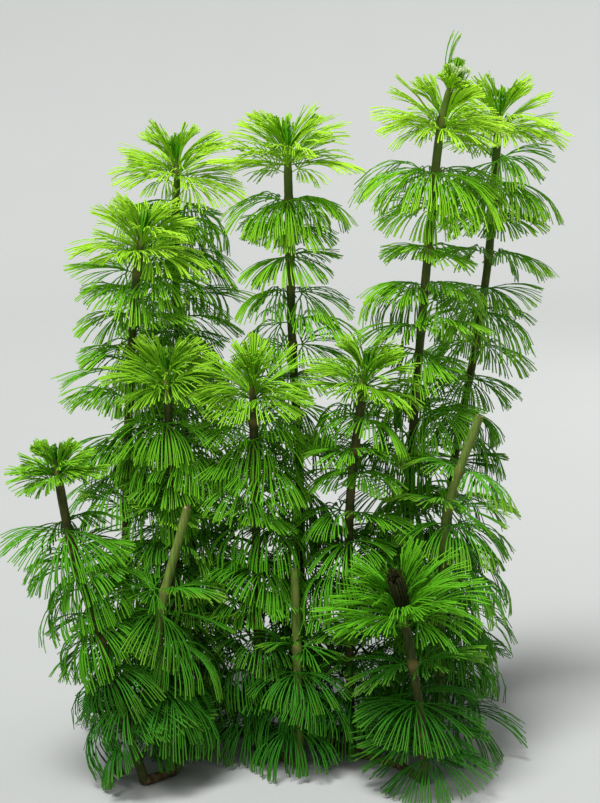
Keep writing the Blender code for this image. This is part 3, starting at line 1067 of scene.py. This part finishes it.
class FANWORT_OT_stems(bpy.types.Operator):
    """Raise the stems through their joints, up to the bud or to the cut"""

    bl_idname = "fanwort.stems"
    bl_label = "Stems"

    def execute(self, context):
        colours = choices("fanwort_colours")
        stem = choices("fanwort_stem")
        living = stem_material("stem", colours.stem, colours.joint)
        trimmed = stem_material("trimmed_stem", colours.stump, between(colours.joint, colours.stump, 0.45))
        for name, shoot in SHOOTS.items():
            budding = shoot.bud is not None
            rings = self.rings(shoot, stem, budding)
            material = living if budding else trimmed
            piece = rod("stem_skin_" + name, rings, stem.radius, stem.sides, STEM_DENTS, material)
            settle(piece, "stem_" + name)
        return {"FINISHED"}

    def rings(self, shoot, stem, budding):
        """Rings of one stem from the rootstock upwards, swollen at each joint and thinner near the bud."""
        top = (shoot.bud + BUD_REACH if budding else shoot.points[-1][2]) * MM
        joints = [pair.height * MM for pair in shoot.pairs]
        if budding:
            joints.append(shoot.crown * MM)
        count = round((top - STEM_FOOT) / stem.ring_step)
        rings = []
        for k in range(count + 1):
            height = STEM_FOOT + (top - STEM_FOOT) * k / count
            place, direction = centre_line(shoot.points, height)
            joint = max(math.exp(-(((height - node) / JOINT_LENGTH) ** 2)) for node in joints)
            spread = math.exp(-((height - STEM_FOOT) / FOOT_LENGTH))
            girth = 1 + joint * stem.joint / stem.radius + FOOT_SWELLING * spread
            if budding:
                girth *= 1 - THINNING * max(0.0, 1 - (top - height) / THINNING_LENGTH)
            rings.append((place, girth, joint, 0.0))
        if not budding:
            rings.pop()
            place, direction = centre_line(shoot.points, top)
            for down, girth, cut in CUT_RINGS:
                rings.append((place - direction * down * MM, girth, 0.0, cut))
        return rings


class FANWORT_OT_crowns(bpy.types.Operator):
    """Open the young leaves round every bud"""

    bl_idname = "fanwort.crowns"
    bl_label = "Crowns"

    def execute(self, context):
        colours = choices("fanwort_colours")
        # The crowns darken lower down towards this green, partly as painted shade.
        green = between(colours.old, colours.grown, 0.75)
        open_leaf = leaf_material("crown_leaf", green, colours.young, 0.09, 0.225)
        folded_leaf = leaf_material("bud_leaf", colours.old, colours.grown, 0.10, 0.235)
        starts = seeds()
        for name, shoot in SHOOTS.items():
            if shoot.bud is None:
                continue
            parts = []
            for k, (tier, place, direction) in enumerate(self.tiers(name, shoot)):
                heading = math.radians(shoot.heading) + tier.turn
                size = tier.size * shoot.size
                finish = folded_leaf if tier.fan is BUD_FAN else open_leaf
                parts.append(grow_tier(tier.fan, tier.arch, size, tier.leaves, heading, place, direction,
                                       finish, starts[name] + k, CROWN_VARIETY))
            settle(joined("crown_leaves_" + name, parts), "crown_" + name)
        return {"FINISHED"}

    def tiers(self, name, shoot):
        """The tiers of one crown and its bud, each with its place and the direction of the stem there."""
        joint, direction = centre_line(shoot.points, shoot.crown * MM)
        bud, above = centre_line(shoot.points, shoot.bud * MM)
        tiers = [(tier, joint + direction * tier.rise * MM * shoot.size, direction) for tier in CROWN_TIERS]
        folded = BUD_TIERS
        if shoot.bud - shoot.crown > CLEAR_BUD:
            folded += CLEAR_BUD_TIERS
        if name == EATEN_BUD:
            folded += EATEN_BUD_TIERS
        return tiers + [(tier, bud + above * tier.rise * MM, above) for tier in folded]


class FANWORT_OT_pairs(bpy.types.Operator):
    """Grow the pair of fan leaves at every joint"""

    bl_idname = "fanwort.pairs"
    bl_label = "Leaf pairs"

    def execute(self, context):
        colours = choices("fanwort_colours")
        old = colours.old
        grown = colours.grown
        # Partly painted shade: both leaf finishes darken downwards, the low one below any grown green.
        deep = between(old, grown, -0.1)
        materials = {
            "upper_leaf": leaf_material("upper_leaf", between(old, grown, 0.5), colours.fresh, 0.08, 0.25),
            "low_leaf": leaf_material("low_leaf", deep, between(old, grown, 0.85), 0.02, 0.13),
        }
        starts = seeds()
        for name, shoot in SHOOTS.items():
            gap = CROWDED_GAP if name in CROWDED else FILLER_GAP
            below = [pair.height for pair in shoot.pairs[1:]] + [LOWEST_JOINT]
            for k, pair in enumerate(shoot.pairs, 1):
                title = f"{name}_{k}"
                slot = "low_leaf" if title in LOW_LEAVES else "upper_leaf"
                material = materials[slot]
                seed = starts[name] + PAIR_SEED * k
                tiers = self.pair(shoot, pair, material, seed)
                if pair.arch is not UPRIGHT:
                    heights = [pair.height, *(pair.height - under for under in pair.under), below[k - 1]]
                    if k == 1 and shoot.crown:
                        heights.insert(0, shoot.crown + LOWEST_CROWN_TIER)
                    tiers += self.fillers(shoot, pair, heights, gap, material, seed + FILLER_SEED)
                settle(joined("fans_" + title, tiers), "leaves_" + title)
        return {"FINISHED"}

    def pair(self, shoot, pair, material, seed):
        """The pair of leaves where the solid has it, and those under it on the same sleeve."""
        fan = NARROW_FAN if pair.arch is UPRIGHT else FULL_FAN
        heading = math.radians(pair.heading)
        place, direction = centre_line(shoot.points, pair.height * MM)
        if pair.under:
            foot = centre_line(shoot.points, (pair.height - pair.under[-1]) * MM)[0]
            direction = (place - foot).normalized()
        else:
            direction = leaning(direction, pair.height * MM)
        leaves = 4 if pair.arch is DRAPED else 2
        tiers = [grow_tier(fan, pair.arch, pair.size, leaves, heading, place, direction, material, seed,
                           PAIR_VARIETY, pair.other)]
        for k, under in enumerate(pair.under, 1):
            below = place - direction * under * MM
            turned = heading + k * math.pi / 2
            tiers.append(grow_tier(fan, UNDER, pair.size, 2, turned, below, direction, material, seed + k,
                                   PAIR_VARIETY))
        return tiers

    def fillers(self, shoot, pair, heights, gap, material, seed):
        """Fine pairs at the joints between these heights, each turned from the one above it."""
        rng = random.Random(seed)
        tiers = []
        for top, bottom in zip(heights, heights[1:]):
            steps = round((top - bottom) / gap)
            for k in range(1, steps):
                step = k + rng.uniform(-1, 1) * FILLER_STRAY
                height = (top - (top - bottom) * step / steps) * MM
                place, direction = centre_line(shoot.points, height)
                heading = math.radians(pair.heading + FILLER_TURN * (len(tiers) + 1))
                direction = leaning(direction, height)
                tiers.append(grow_tier(FULL_FAN, BETWEEN, pair.size, 2, heading, place, direction, material,
                                       seed + len(tiers), FILLER_VARIETY))
        return tiers


class FANWORT_PT_panel(bpy.types.Panel):
    """Lists the pieces of the fanwort and their settings"""

    bl_idname = "FANWORT_PT_panel"
    bl_label = "Carolina fanwort"
    bl_space_type = "VIEW_3D"
    bl_region_type = "UI"
    bl_category = "Fanwort"

    def draw(self, context):
        for operator in OPERATORS:
            self.layout.operator(operator.bl_idname)
        for name in GROUPS:
            box = self.layout.box()
            group = getattr(context.scene, name)
            for field in group.bl_rna.properties:
                if field.identifier not in ("rna_type", "name"):
                    box.prop(group, field.identifier)


OPERATORS = (
    FANWORT_OT_stage,
    FANWORT_OT_rootstock,
    FANWORT_OT_stems,
    FANWORT_OT_crowns,
    FANWORT_OT_pairs,
)
GROUPS = {
    "fanwort_leaf": FanwortLeafSettings,
    "fanwort_stem": FanwortStemSettings,
    "fanwort_colours": FanwortColours,
}


def register():
    for made in (*GROUPS.values(), *OPERATORS, FANWORT_PT_panel):
        bpy.utils.register_class(made)
    for name, group in GROUPS.items():
        setattr(bpy.types.Scene, name, PointerProperty(type=group))


def unregister():
    for name in GROUPS:
        delattr(bpy.types.Scene, name)
    for made in reversed((*GROUPS.values(), *OPERATORS, FANWORT_PT_panel)):
        bpy.utils.unregister_class(made)


def main():
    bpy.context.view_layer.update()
    register()
    bpy.ops.fanwort.stage()
    bpy.ops.fanwort.rootstock()
    bpy.ops.fanwort.stems()
    bpy.ops.fanwort.crowns()
    bpy.ops.fanwort.pairs()


if __name__ == "__main__":
    main()
